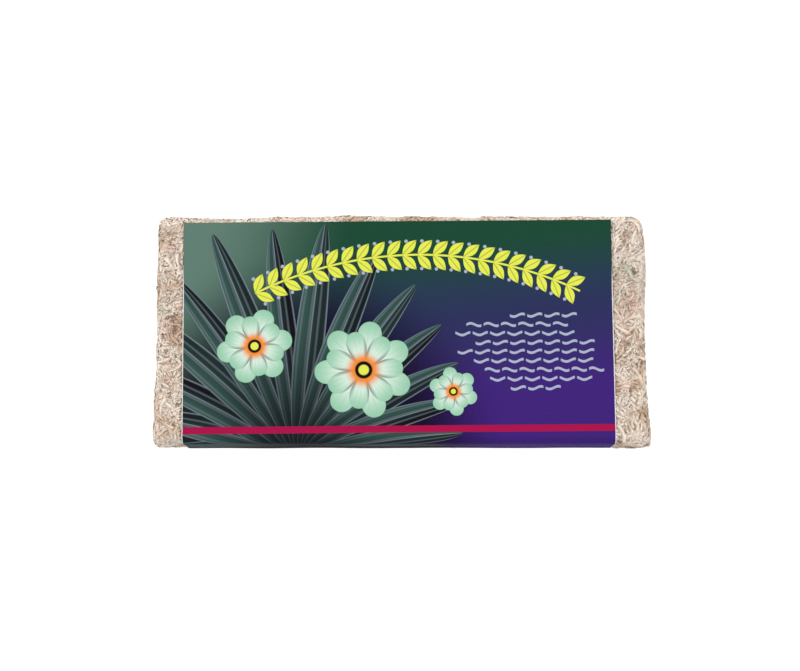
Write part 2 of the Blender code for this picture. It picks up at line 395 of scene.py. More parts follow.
@dataclass(frozen=True)
class MossFinish:
    """The colours of dried, pressed sphagnum, and the groups that its materials share."""

    fibres: Tree
    patches: Tree
    pale: Colour = srgb(244, 229, 213)
    straw: Colour = srgb(232, 211, 192)
    pink: Colour = srgb(228, 200, 187)
    tan: Colour = srgb(204, 173, 148)
    green: Colour = srgb(208, 202, 182)
    # dark: the fibre gaps of the felted body, partly the moss's own grain and partly painted shade of the
    # crevices.
    dark: Colour = srgb(200, 174, 150)
    crumb: Colour = srgb(126, 105, 86)
    translucence: float = 0.35
    spread: float = 0.0006
    leaf_length: float = 0.0011
    shoot_fibres: float = 900.0
    body_fibres: float = 700.0

    def dry_fibre(self, roughness: float) -> dict:
        """What all the dry moss has in common: a matt surface, and light that spreads inside it."""
        return {"Roughness": roughness, "Specular IOR Level": 0.22, "Subsurface Weight": self.translucence,
                "Subsurface Radius": (1.0, 0.95, 0.9), "Subsurface Scale": self.spread}

    def shoots(self) -> bpy.types.Material:
        """The finish of the shoots, which differs from one to the next, with painted shade where they lie
        low.

        Returns:
            The material.
        """
        surface = Surface("dried_moss_shoots")
        place, ramp = surface.place(), surface.ramp
        shade, tone, height = (surface.stored(name) for name in ("shade", "tone", "height"))
        patches = surface.group(self.patches, Place=place)
        fibres = surface.group(self.fibres, Place=place, Scale=self.shoot_fibres)
        colour = surface.tinted(
            self.straw,
            (ramp(shade, 0.15, 0.75), self.pale),
            (ramp(tone, 0.55, 1.0) * 0.25, self.tan),
            (patches["Pink"] * ramp(shade, 0.9, 0.2), self.pink),
            (patches["Green"] * ramp(shade, 0.1, 0.8), self.green),
            (ramp(shade, 0.88, 0.95) * 0.7, self.tan),
            (patches["Brown"] * 0.9, self.tan),
            (patches["Bleached"] * 0.85, self.pale),
            (patches["Crumbs"] * 0.75, self.crumb),
            ((1.0 - fibres["Mask"]) * 0.08, self.tan),
            # Painted shade: shoots are tinted tan where they lie within 0.5 mm of the guide, as the shade
            # in the crevices between them.
            (ramp(height, 0.0005, 0.0) * 0.12, self.tan),
        )
        lengthwise = surface.stored("lengthwise", "Vector")
        scales = surface.group(leaf_scale_group(), Lengthwise=lengthwise, Length=self.leaf_length)
        normal = surface.relief(scales["Height"] * 0.5 + fibres["Height"], 0.35, 0.0002)
        return surface.finish({"Base Color": colour, "Normal": normal, **self.dry_fibre(0.9)})

    def body(self) -> bpy.types.Material:
        """The finish of the felted moss under the shoots, darker in the gaps of its fibres: partly the
        moss's own grain, partly painted shade of the crevices between the shoots.

        Returns:
            The material.
        """
        surface = Surface("felted_moss")
        place = surface.place()
        patches = surface.group(self.patches, Place=place)
        fibres = surface.group(self.fibres, Place=place, Scale=self.body_fibres)
        # The dark colour in the fibre gaps is partly the moss's own grain and partly painted shade, since
        # the body shows only in the crevices between the shoots.
        colour = surface.tinted(self.straw, (patches["Brown"], self.tan), (patches["Pink"], self.pink),
                                (1.0 - fibres["Mask"], self.dark))
        normal = surface.relief(fibres["Height"], 0.5, 0.0005)
        return surface.finish({"Base Color": colour, "Normal": normal, **self.dry_fibre(0.95)})


def read_rows(values: bpy.types.bpy_prop_collection, key: str) -> np.ndarray:
    """Read a vector of each point of a mesh.

    Args:
        values: The points, or their normals.
        key: The name of the vector.

    Returns:
        One row for each point.
    """
    rows = np.empty(len(values) * 3)
    values.foreach_get(key, rows)
    return rows.reshape(-1, 3)


def read_places(mesh: bpy.types.Mesh) -> np.ndarray:
    """The points of a mesh, one row each."""
    return read_rows(mesh.vertices, "co")


def read_normals(mesh: bpy.types.Mesh) -> np.ndarray:
    """The normals of a mesh's points, one row each."""
    return read_rows(mesh.vertex_normals, "vector")


def write_places(mesh: bpy.types.Mesh, places: np.ndarray) -> None:
    """Move the points of a mesh."""
    mesh.vertices.foreach_set("co", places.ravel())
    mesh.update()


def store(mesh: bpy.types.Mesh, name: str, values: np.ndarray) -> None:
    """Store a number or a vector for each point of a mesh."""
    kind, key = ("FLOAT_VECTOR", "vector") if values.ndim == 2 else ("FLOAT", "value")
    mesh.attributes.new(name, kind, "POINT").data.foreach_set(key, values.ravel())


@dataclass(frozen=True)
class Felting:
    """How the solid is turned into an even mesh: its faces, its smoothing and how far it is sunk."""

    name: str
    voxel: float
    softening: int
    depth: float


@dataclass
class PressedBody:
    """The felted body of the brick, and the smooth guide that the shoots are laid on."""

    node: str = "moss_brick"
    guide_felting: Felting = Felting("guide", 0.0012, 14, 0.0005)
    body_felting: Felting = Felting("felted_body", 0.001, 3, 0.0006)
    roughness_height: float = 0.0004
    roughness_scale: float = 420.0
    lowest: float = 0.0002
    card_margin: float = 0.002
    merge_distance: float = 1e-6
    bulge_stretch: tuple = (1.0, 1.0, 0.7)
    front_facing: float = 0.5
    front_share: float = 0.6
    back_facing: float = -0.75
    upright_facing: float = 0.8
    bulges: tuple = (
        ((-0.1, -0.035, 0.012), 0.02, (-0.0014, 0.0, 0.0)),
        ((-0.1, -0.0475, 0.014), 0.012, (-0.0012, -0.0004, 0.0)),
        ((-0.099, -0.0465, 0.014), 0.008, (-0.0006, -0.0018, 0.0)),
        ((-0.1, 0.0475, 0.014), 0.011, (-0.0008, 0.001, 0.0)),
        ((0.1, 0.0475, 0.014), 0.012, (-0.0006, 0.0003, 0.0)),
        ((0.1, -0.0475, 0.014), 0.012, (0.0002, -0.0004, 0.0)),
        ((0.1, -0.0465, 0.014), 0.008, (0.0002, -0.0018, 0.0)),
        ((0.1, 0.022, 0.014), 0.018, (0.0009, 0.0, 0.0)),
    )

    def felted(self, felting: Felting) -> bpy.types.Mesh:
        """The solid as an even mesh of small faces, sunk a little and bulged at its corners.

        Args:
            felting: How it is made.

        Returns:
            The mesh.
        """
        shape = bmesh.new()
        shape.from_mesh(bpy.data.objects[self.node].data)
        bmesh.ops.remove_doubles(shape, verts=shape.verts, dist=self.merge_distance)
        mesh = bpy.data.meshes.new(felting.name)
        shape.to_mesh(mesh)
        shape.free()
        blank = new_piece(felting.name, mesh)
        remesh = blank.modifiers.new("Even faces", "REMESH")
        remesh.mode, remesh.voxel_size = "VOXEL", felting.voxel
        soft = blank.modifiers.new("Softened", "SMOOTH")
        soft.factor, soft.iterations = 0.5, felting.softening
        finished = finished_mesh(blank)
        places = read_places(finished) - read_normals(finished) * felting.depth
        moved = places.copy()
        for centre, reach, amount in self.bulges:
            away = np.linalg.norm((places - centre) * self.bulge_stretch, axis=1) / reach
            moved += np.outer(np.exp(-away ** 2 * 2.0), amount)
        write_places(finished, moved)
        return finished

    def guide(self, card: PrintedCard) -> bpy.types.Mesh:
        """The smooth surface that the shoots lie on.

        Args:
            card: The card, under which no shoots start.

        Returns:
            Its mesh, with the side that each point belongs to and the way the shoots run there.
        """
        mesh = self.felted(self.guide_felting)
        places, normals = read_places(mesh), read_normals(mesh)
        _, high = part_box(self.node)
        flow = np.cross(normals, (0.0, 0.0, 1.0))
        facing = normals[:, 2]
        front = (facing > self.front_facing) & (places[:, 2] > high.z * self.front_share)
        back = facing < self.back_facing
        flow[front] = (0.0, 1.0, 0.0)
        flow[back] = (1.0, 0.0, 0.0)
        upright = (np.abs(facing) < self.upright_facing) & ~back
        across = np.abs(normals[:, 0]) > np.abs(normals[:, 1])
        open_air = card.inside(places) < self.card_margin
        regions = {
            Side.FRONT: front & open_air,
            Side.ENDS: upright & across,
            Side.FAR: upright & ~across & (normals[:, 1] > 0),
            Side.NEAR: upright & ~across & (normals[:, 1] < 0) & open_air,
            Side.BACK: back,
        }
        store(mesh, "flow", flow)
        store(mesh, "up", normals)
        for side, chosen in regions.items():
            store(mesh, side.value, chosen.astype(float))
        return mesh

    def build(self, finish: MossFinish) -> None:
        """Make the felted body.

        Args:
            finish: The colours of the moss.
        """
        mesh = self.felted(self.body_felting)
        places, normals = read_places(mesh), read_normals(mesh)
        rough = np.array([noise.noise(Vector(place) * self.roughness_scale) for place in places])
        places += normals * (rough * self.roughness_height)[:, None]
        places[:, 2] = np.maximum(places[:, 2], self.lowest)
        write_places(mesh, places)
        mesh.materials.clear()
        dress(new_piece("felted_body", mesh, finish.body()), self.node)


def level_way(angle: float) -> Vector:
    """A level vector of length 1, turned from X by an angle in radians."""
    return Vector((math.cos(angle), math.sin(angle), 0.0))


class ShootKind(Enum):
    """The forms that the moss is laid from."""

    HEADED = "headed shoot"
    STRAND = "shaggy strand"
    BRANCH = "loose branch"
    STEM = "bare stem"
    HEAD = "loose head"
    SCRAP = "leaf scraps"
    FIBRE = "loose fibre"


@dataclass
class ShootMaker:
    """Builds the forms that the moss is laid from, each lying flat along X from the origin."""

    seed: int = 11
    flatness: float = 0.27
    branch_gap: float = 0.0009
    stem_width: float = 0.0008
    ray_width: float = 0.0011
    ray_rise: float = 0.0004
    scrap_scatter: float = 0.0015
    scraps: int = 3
    shoot_rays: int = 13
    head_rays: int = 17
    counts: dict = field(default_factory=lambda: {
        ShootKind.HEADED: 4,
        ShootKind.STRAND: 4,
        ShootKind.BRANCH: 6,
        ShootKind.STEM: 3,
        ShootKind.HEAD: 3,
        ShootKind.SCRAP: 4,
        ShootKind.FIBRE: 6,
    })

    def __post_init__(self) -> None:
        """Start the draw and empty the lists that a form is built in."""
        self.draw = random.Random(self.seed).uniform
        self.start()

    def start(self) -> None:
        """Begin a new form, with empty lists of its points and faces and of what is stored on them."""
        self.points: list[tuple] = []
        self.faces: list[tuple] = []
        self.tones: list[float] = []
        self.lengthwise: list[tuple] = []

    def branch(self, root: Vector, heading: float, length: float, width: float, sides: int = 4,
               rings: int = 3, curl: float = 0.5, rise: float = 0.0, blunt: float = 0.5) -> None:
        """Add one closed, flattened, tapering branch.

        Args:
            root: Where it starts.
            heading: The way it runs, in radians from X.
            length: Its length.
            width: Its greatest width.
            sides: The number of its sides.
            rings: The number of points round it along its length.
            curl: How far it turns along its length, in radians.
            rise: How far its end lies above its start.
            blunt: How wide it already is at its root, as a share of its width.
        """
        tone = self.draw(0.0, 1.0)
        first = len(self.points)
        turn = self.draw(-curl, curl)
        place = root.copy()
        spine = [place]
        for index in range(rings + 1):
            angle = heading + turn * (index + 0.5) / (rings + 1)
            place = place + level_way(angle) * (length / (rings + 1))
            place.z = root.z + rise * (index + 1) / (rings + 1)
            spine.append(place)
        self.add_point(root, tone, 0.0, 0.0)
        for index in range(1, rings + 1):
            share = index / (rings + 1)
            swell = blunt + (1 - blunt) * math.sin(math.pi * min(1.0, share * 1.6 + 0.1) ** 0.9 / 1.15)
            radius = width / 2 * max(swell, 0.3) * self.draw(0.85, 1.12)
            way = (spine[index + 1] - spine[index - 1]).normalized()
            beside = Vector((-way.y, way.x, 0.0))
            offset = self.draw(0.0, 1.0)
            for side in range(sides):
                angle = math.tau * (side + offset * 0.3) / sides
                lift = Vector((0.0, 0.0, math.sin(angle) * radius * self.flatness + radius * 0.4))
                self.add_point(spine[index] + beside * math.cos(angle) * radius + lift, tone,
                               share * length, angle)
        self.add_point(spine[-1], tone, length, 0.0)
        last = len(self.points) - 1
        for side in range(sides):
            following = (side + 1) % sides
            self.faces.append((first, first + 1 + following, first + 1 + side))
            for near in range(first + 1, last - sides, sides):
                far = near + sides
                self.faces.append((near + side, near + following, far + following, far + side))
            self.faces.append((last - sides + side, last - sides + following, last))

    def add_point(self, place: Vector, tone: float, along: float, angle: float) -> None:
        """Add one point of a branch.

        Args:
            place: Where it is.
            tone: The branch's own tone, from 0 to 1.
            along: Its distance from the branch's root.
            angle: How far round the branch it is, in radians.
        """
        self.points.append(tuple(place))
        self.tones.append(tone)
        self.lengthwise.append((along, math.cos(angle), math.sin(angle)))

    def head(self, centre: Vector, radius: float, rays: int) -> None:
        """Add a pressed rosette of short branches.

        Args:
            centre: Its middle.
            radius: How far its branches reach.
            rays: The number of its branches.
        """
        for ray in range(rays):
            angle = math.tau * (ray + self.draw(-0.3, 0.3)) / rays
            inner = ray % 2
            reach = radius * (self.draw(0.8, 1.1) if inner else self.draw(0.5, 0.75))
            root = centre + level_way(angle) * radius * 0.08
            root.z += 0.0 if inner else self.ray_rise
            self.branch(root, angle, reach, self.ray_width, rings=2)

    def shoot(self, length: float, reach: float, spread: tuple[float, float], headed: bool) -> None:
        """Add a stem with branches on both sides, close together.

        Args:
            length: The length of its stem.
            reach: The length of a branch.
            spread: The least and greatest angle of a branch, in radians.
            headed: Whether it ends in a head.
        """
        bend = self.draw(-0.5, 0.5)
        tilt = -bend / 2
        place = Vector((-length / 2, 0.0, 0.0))
        steps = int(length / self.branch_gap)
        self.branch(place, tilt * 0.4, length * 0.97, self.stem_width, sides=3, rings=5, curl=0.0,
                    blunt=0.8)
        for index in range(steps):
            share = index / steps
            angle = tilt + bend * share
            place = place + level_way(angle) * length / steps
            side = 1 if index % 2 else -1
            lean = angle + side * self.draw(*spread)
            size = self.draw(0.75, 1.15) * (1.0 - 0.35 * share)
            root = place + Vector((0.0, side * 0.0002, self.draw(-0.0001, 0.0003)))
            self.branch(root, lean, reach * size, self.draw(0.001, 0.0015), curl=1.3)
        if headed:
            self.head(place, self.draw(0.003, 0.0042), self.shoot_rays)

    def lone_branch(self, lengths: tuple[float, float], widths: tuple[float, float], **shape) -> None:
        """Add one branch with its middle at the origin, of a drawn length and width."""
        length = self.draw(*lengths)
        self.branch(Vector((-length / 2, 0.0, 0.0)), 0.0, length, self.draw(*widths), **shape)

    def make(self, kind: ShootKind) -> bpy.types.Mesh:
        """Build one form.

        Args:
            kind: Which form.

        Returns:
            Its mesh.
        """
        self.start()
        draw, scatter = self.draw, self.scrap_scatter
        if kind is ShootKind.HEADED:
            self.shoot(draw(0.016, 0.024), 0.0062, (0.5, 1.1), True)
        elif kind is ShootKind.STRAND:
            self.shoot(draw(0.02, 0.032), 0.0052, (0.2, 0.7), False)
        elif kind is ShootKind.BRANCH:
            self.lone_branch((0.005, 0.0095), (0.0011, 0.0017), rings=4, curl=2.0)
        elif kind is ShootKind.STEM:
            self.lone_branch((0.018, 0.034), (0.0004, 0.0007), sides=3, rings=8, curl=0.9, blunt=0.8)
        elif kind is ShootKind.FIBRE:
            self.branch(Vector((0.0, 0.0, 0.0002)), 0.0, draw(0.003, 0.008), draw(0.00022, 0.00034),
                        sides=3, rings=4, curl=2.2, rise=draw(0.0004, 0.0017), blunt=0.8)
        elif kind is ShootKind.HEAD:
            self.head(Vector(), draw(0.0032, 0.0046), self.head_rays)
        else:
            for _ in range(self.scraps):
                root = Vector((draw(-scatter, scatter), draw(-scatter, scatter), 0.0))
                self.branch(root, draw(0.0, math.tau), draw(0.002, 0.0036), draw(0.001, 0.0015), rings=1,
                            curl=0.2, blunt=0.25)
        mesh = bpy.data.meshes.new(kind.name.lower())
        mesh.from_pydata(self.points, [], self.faces)
        store(mesh, "tone", np.array(self.tones))
        store(mesh, "lengthwise", np.array(self.lengthwise))
        mesh.shade_smooth()
        return mesh

    def collections(self) -> dict[ShootKind, bpy.types.Collection]:
        """Build every form.

        Returns:
            One collection of differing forms for each kind.
        """
        made = {}
        for kind, count in self.counts.items():
            made[kind] = bpy.data.collections.new(kind.name.lower())
            for index in range(count):
                form = bpy.data.objects.new(f"{kind.name.lower()}_{index}", self.make(kind))
                made[kind].objects.link(form)
        return made


@dataclass(frozen=True)
class Layer:
    """One layer of a cover: which form, how many, how high and how far turned out of the flow."""

    kind: ShootKind
    number: float
    lift: tuple[float, float]
    turn: float


class LayingTree(Graph):
    """The Geometry Nodes that scatter the forms over a side and bend them round its edges."""

    bends: int = 7
    undulation: float = 0.001
    wave_scale: float = 90.0
    wave_spread: float = 60.0
    sizes: tuple = (0.8, 1.2)

    def __init__(self, cover: MossCover, forms: dict, finish: bpy.types.Material) -> None:
        """Build the tree and keep the values of its inputs.

        Args:
            cover: The cover that it lays.
            forms: The collection of forms for each kind.
            finish: The finish of the shoots.
        """
        super().__init__(bpy.data.node_groups.new(f"Laying_{cover.side.value}", "GeometryNodeTree"))
        self.tree.is_modifier = True
        self.tree.interface.new_socket("Geometry", in_out="OUTPUT", socket_type="NodeSocketGeometry")
        self.values: dict[str, object] = {}
        sockets = [("Geometry", "Geometry", None), ("Side", "String", cover.side.value),
                   ("Undulation", "Float", self.undulation), ("Finish", "Material", finish),
                   ("Seed", "Int", cover.seed)]
        for index, layer in enumerate(cover.layers):
            sockets += [
                (f"Forms {index}", "Collection", forms[layer.kind]),
                (f"Density {index}", "Float", layer.number / cover.area),
                (f"Lowest {index}", "Float", layer.lift[0]),
                (f"Highest {index}", "Float", layer.lift[1]),
                (f"Turn {index}", "Float", layer.turn),
            ]
        for name, kind, value in sockets:
            made = self.tree.interface.new_socket(name, in_out="INPUT", socket_type=f"NodeSocket{kind}")
            if value is not None:
                self.values[made.identifier] = value
        self.inputs = self.readings(self.add("NodeGroupInput"))
        joined = self.add("GeometryNodeJoinGeometry")
        for index in range(len(cover.layers)):
            self.feed(joined, {0: self.scattered(index)})
        whole = self.read("GeometryNodeRealizeInstances", {0: self.readings(joined)["Geometry"]})
        finished = {0: self.bent(whole), "Material": self.inputs["Finish"]}
        self.add("NodeGroupOutput", {0: self.read("GeometryNodeSetMaterial", finished)})

    def named(self, name: str | Reading, kind: str) -> Reading:
        """The values stored under a name."""
        node = self.add("GeometryNodeInputNamedAttribute", {"Name": name}, data_type=kind)
        return Reading(self, next(socket for socket in node.outputs if socket.enabled))

    def drawn(self, low: Value, high: Value, salt: int) -> Reading:
        """A random number for each point, with a salt that sets this draw apart from the others."""
        sockets = {2: low, 3: high, "Seed": self.inputs["Seed"] + salt}
        return self.read("FunctionNodeRandomValue", sockets, 1, data_type="FLOAT")

    def stored(self, geometry: Reading, name: str, kind: str, value: Value) -> Reading:
        """The geometry with a value stored on it."""
        sockets = {"Geometry": geometry, "Name": name, "Value": value}
        return self.read("GeometryNodeStoreNamedAttribute", sockets, data_type=kind)

    def scattered(self, index: int) -> Reading:
        """One layer of forms, turned along the flow, with what the bending needs stored on them.

        Args:
            index: The layer's number.

        Returns:
            The layer's geometry.
        """
        inputs, salt = self.inputs, index * 10
        turn = inputs[f"Turn {index}"]
        lift = self.drawn(inputs[f"Lowest {index}"], inputs[f"Highest {index}"], salt + 2)
        density = inputs[f"Density {index}"] * self.named(inputs["Side"], "FLOAT")
        points = self.read("GeometryNodeDistributePointsOnFaces", {
            "Mesh": inputs["Geometry"], "Density": density, "Seed": inputs["Seed"] + salt})
        points = self.stored(points, "anchor", "FLOAT_VECTOR", self.read("GeometryNodeInputPosition"))
        points = self.stored(points, "shade", "FLOAT", self.drawn(0.0, 1.0, salt + 1))
        points = self.stored(points, "lift", "FLOAT", lift)
        flipped = self.math("ROUND", self.drawn(0.0, 1.0, salt + 4)) * math.pi
        spin = {"Z": self.drawn(turn * -1.0, turn, salt + 3) + flipped}
        up = self.vector("NORMALIZE", self.named("up", "FLOAT_VECTOR"))
        frame = self.read("FunctionNodeAxesToRotation", {0: up, 1: self.named("flow", "FLOAT_VECTOR")},
                          primary_axis="Z", secondary_axis="X")
        local = self.read("FunctionNodeEulerToRotation", {0: self.read("ShaderNodeCombineXYZ", spin)})
        turned = self.read("FunctionNodeRotateRotation", {0: frame, 1: local}, rotation_space="LOCAL")
        forms = self.read("GeometryNodeCollectionInfo", {"Collection": inputs[f"Forms {index}"],
                          "Separate Children": True, "Reset Children": True})
        return self.read("GeometryNodeInstanceOnPoints", {
            "Points": points, "Instance": forms, "Pick Instance": True, "Rotation": turned,
            "Scale": self.drawn(*self.sizes, salt + 5)})

    def sampled(self, value: Reading, place: Reading) -> Reading:
        """A value of the guide, such as its own place, at the point of it nearest to a place."""
        sockets = {"Mesh": self.inputs["Geometry"], "Value": value, "Sample Position": place}
        return self.read("GeometryNodeSampleNearestSurface", sockets, data_type="FLOAT_VECTOR")

    def bent(self, geometry: Reading) -> Reading:
        """Lay the forms round the brick: each point walks from its form's middle along the guide.

        Args:
            geometry: The forms, still straight.

        Returns:
            The bent forms.
        """
        place = self.read("GeometryNodeInputPosition")
        anchor, guide_up = (self.named(name, "FLOAT_VECTOR") for name in ("anchor", "up"))
        up = self.vector("NORMALIZE", self.sampled(guide_up, anchor))
        offset = place - anchor
        height = self.vector("DOT_PRODUCT", offset, up)
        phase = self.named("shade", "FLOAT") * self.wave_spread
        wave = self.read("ShaderNodeTexNoise", {"Vector": place, "W": phase, "Scale": self.wave_scale,
                         "Detail": 1.0}, noise_dimensions="4D")
        raised = height + self.named("lift", "FLOAT") + (wave - 0.5) * self.inputs["Undulation"]
        geometry = self.stored(geometry, "height", "FLOAT", raised)
        step = (offset - up * height) * (1.0 / self.bends)
        stride = self.vector("LENGTH", step)
        spot = anchor
        for _ in range(self.bends):
            reached = spot + step
            spot = self.sampled(place, reached)
            up = self.vector("NORMALIZE", self.sampled(guide_up, reached))
            along = step - up * self.vector("DOT_PRODUCT", step, up)
            step = self.vector("NORMALIZE", along) * stride
        goal = spot + up * self.named("height", "FLOAT")
        return self.read("GeometryNodeSetPosition", {"Geometry": geometry, "Position": goal})

    def apply_to(self, blank: bpy.types.Object) -> None:
        """Put the tree on an object and set its inputs.

        Args:
            blank: The object that holds the guide.
        """
        modifier = blank.modifiers.new("Laid moss", "NODES")
        modifier.node_group = self.tree
        for identifier, value in self.values.items():
            modifier[identifier] = value


@dataclass
class PrintedCard:
    """The thin printed card over the brick's face, folded down over its near side."""

    node: str = "label_card"
    left: float = -0.0882
    right: float = 0.0859
    far: float = 0.044
    fold_start: float = 0.0433
    face_level: float = 0.0256
    edge_radius: float = 0.003
    side_drop: float = 0.0215
    thickness: float = 0.0004
    turn: float = math.radians(0.45)
    cell: float = 0.002
    fold_rows: int = 10
    wave_height: float = 0.00022
    wave_scale: float = 38.0
    moss_room: float = 0.00005
    hem: float = 0.0014
    hem_rise: float = 0.0006
    print_size: float = 0.2
    tiny: float = 1e-9

    def __post_init__(self) -> None:
        """Work out the sheet's middle and half width, its fold, and its near end when laid flat."""
        self.middle = (self.left + self.right) / 2
        self.half_width = (self.right - self.left) / 2
        self.fold_level = self.face_level - self.edge_radius
        self.fold_end = -self.fold_start - self.edge_radius * math.pi / 2
        self.near_end = self.fold_end - self.side_drop + self.edge_radius

    def rows(self) -> list[float]:
        """Where the rows of the sheet's points are.

        Returns:
            Their distances from the sheet's middle, from its far edge to its near end.
        """
        flat_steps = int((self.far + self.fold_start) / self.cell)
        drop_steps = int((self.side_drop - self.edge_radius) / self.cell)
        flat = np.linspace(self.far, -self.fold_start, flat_steps, endpoint=False)
        fold = np.linspace(-self.fold_start, self.fold_end, self.fold_rows, endpoint=False)
        return [*flat, *fold, *np.linspace(self.fold_end, self.near_end, drop_steps + 1)]

    def folded(self, along: float, across: float, height: float) -> Vector:
        """A place of the sheet, once it is folded down over the near side.

        Args:
            along: Its distance from the sheet's middle along X, on the flat sheet.
            across: Its distance from the sheet's middle along Y, on the flat sheet.
            height: Its height above the sheet's underside.

        Returns:
            The place.
        """
        x = along * math.cos(self.turn) - across * math.sin(self.turn) + self.middle
        y = along * math.sin(self.turn) + across * math.cos(self.turn)
        angle = min(max(0.0, -self.fold_start - y) / self.edge_radius, math.pi / 2)
        drop = max(0.0, self.fold_end - y)
        reach = self.edge_radius + height
        y = max(y, -self.fold_start) - reach * math.sin(angle)
        return Vector((x, y, self.fold_level + reach * math.cos(angle) - drop))

    def beyond(self, places: np.ndarray) -> tuple[np.ndarray, np.ndarray]:
        """How far points lie out past the axis of the fold, and how far above it, both from 0."""
        out = np.maximum(-self.fold_start - places[:, 1], 0.0)
        return out, np.maximum(places[:, 2] - self.fold_level, 0.0)

    def inside(self, places: np.ndarray) -> np.ndarray:
        """How far inside the card's outline points are, measured along the brick's surface.

        Args:
            places: The points, one row each.

        Returns:
            The distance for each point, below 0 outside the card.
        """
        out, above = self.beyond(places)
        below = np.maximum(self.fold_level - places[:, 2], 0.0)
        folded = -self.fold_start - self.edge_radius * np.arctan2(out, above) - below
        flat_y = np.where(out > 0, folded, places[:, 1])
        x = places[:, 0] - self.middle
        along = x * math.cos(self.turn) + flat_y * math.sin(self.turn)
        across = flat_y * math.cos(self.turn) - x * math.sin(self.turn)
        sides = np.minimum(self.half_width - np.abs(along), self.far - across)
        return np.minimum(sides, across - self.near_end)

    def tuck(self, places: np.ndarray) -> np.ndarray:
        """Hold points of the moss under the card, and low beside its edges.

        Args:
            places: The points, one row each.

        Returns:
            The points, moved where they were too high.
        """
        out, above = self.beyond(places)
        inside, reach = self.inside(places), np.hypot(out, above)
        limit = self.edge_radius - self.moss_room + np.clip(-inside / self.hem, 0.0, 1.0) * self.hem_rise
        held = (inside > -self.hem) & (reach > limit)
        share = np.where(held, limit / np.maximum(reach, self.tiny), 1.0)
        tucked = places.copy()
        tucked[:, 1] = np.where(out > 0, -self.fold_start - out * share, places[:, 1])
        tucked[:, 2] = np.where(above > 0, self.fold_level + above * share, places[:, 2])
        return tucked

    def build(self, print_finish: PrintFinish) -> None:
        """Make the card.

        Args:
            print_finish: The colours of its print and its paper.
        """
        rows = self.rows()
        columns = int(self.half_width * 2 / self.cell)
        shape = bmesh.new()
        flat = shape.loops.layers.uv.new("Print")
        spots: dict[bmesh.types.BMVert, tuple[float, float]] = {}
        under, over = {}, {}
        for sheet, height in ((under, 0.0), (over, self.thickness)):
            for row, across in enumerate(rows):
                for column in range(columns + 1):
                    along = self.half_width * (2 * column / columns - 1)
                    wave = noise.noise(Vector((along, across, 0.0)) * self.wave_scale) + 0.5
                    vertex = shape.verts.new(self.folded(along, across, height + wave * self.wave_height))
                    sheet[row, column] = vertex
                    spots[vertex] = (along, across)
        for row in range(len(rows) - 1):
            for column in range(columns):
                corners = [(row, column), (row + 1, column), (row + 1, column + 1), (row, column + 1)]
                shape.faces.new([over[corner] for corner in corners])
                shape.faces.new([under[corner] for corner in reversed(corners)]).material_index = 1
        rim = [(0, c) for c in range(columns + 1)] + [(r, columns) for r in range(1, len(rows))]
        rim += [(len(rows) - 1, c) for c in range(columns - 1, -1, -1)]
        rim += [(r, 0) for r in range(len(rows) - 2, 0, -1)]
        for spot, following in zip(rim, rim[1:] + rim[:1]):
            corners = [under[spot], over[spot], over[following], under[following]]
            shape.faces.new(corners).material_index = 1
        for face in shape.faces:
            face.smooth = True
            for loop in face.loops:
                loop[flat].uv = [distance / self.print_size + 0.5 for distance in spots[loop.vert]]
        for edge in shape.edges:
            edge.smooth = len({face.material_index for face in edge.link_faces}) == 1
        mesh = bpy.data.meshes.new("printed_card")
        shape.to_mesh(mesh)
        shape.free()
        card = new_piece("printed_card", mesh, print_finish.print(), print_finish.paper())
        dress(card, self.node)


def blade_group() -> Tree:
    """A long pointed leaf: where it is, how far across it a place is and how far along.

    Returns:
        The node group.
    """
    group = EffectGroup("Print_Blade", ("Place", "Centre"), ("Turn", "Length", "Width", "Bend"),
                        ("Mask", "Across", "Along"))
    inputs, ramp = group.inputs, group.ramp
    x, y = group.local()
    along = x / inputs["Length"]
    kept = group.math("MINIMUM", group.math("MAXIMUM", along, 0.001), 0.999)
    side = y - inputs["Bend"] * kept ** 2.0
    width = kept ** 0.55 * (1.0 - kept) ** 0.6 * 1.7 * inputs["Width"]
    across = side / group.math("MAXIMUM", width, 0.01)
    mask = ramp(width - abs(side), 0.0, 0.3) * ramp(along, 0.0, 0.01) * ramp(along, 1.0, 0.99)
    return group.finish(Mask=mask, Across=across, Along=along)


def bloom_group() -> Tree:
    """A flower with petals all round: where it is, how far out a place is and how far across a petal.

    Returns:
        The node group.
    """
    group = EffectGroup("Print_Bloom", ("Place", "Centre"), ("Turn", "Size", "Petals"),
                        ("Mask", "Out", "Across"))
    x, y = group.local()
    out = group.math("SQRT", x * x + y * y) / group.inputs["Size"]
    counted = (group.math("ARCTAN2", y, x) / math.tau + 1.0) * group.inputs["Petals"]
    across = group.math("FRACT", counted) * 2.0 - 1.0
    rim = (1.0 - abs(across) ** 2.2) ** 0.6 * 0.66 + 0.34
    return group.finish(Mask=group.ramp(rim - out, 0.0, 0.02), Out=out, Across=across)


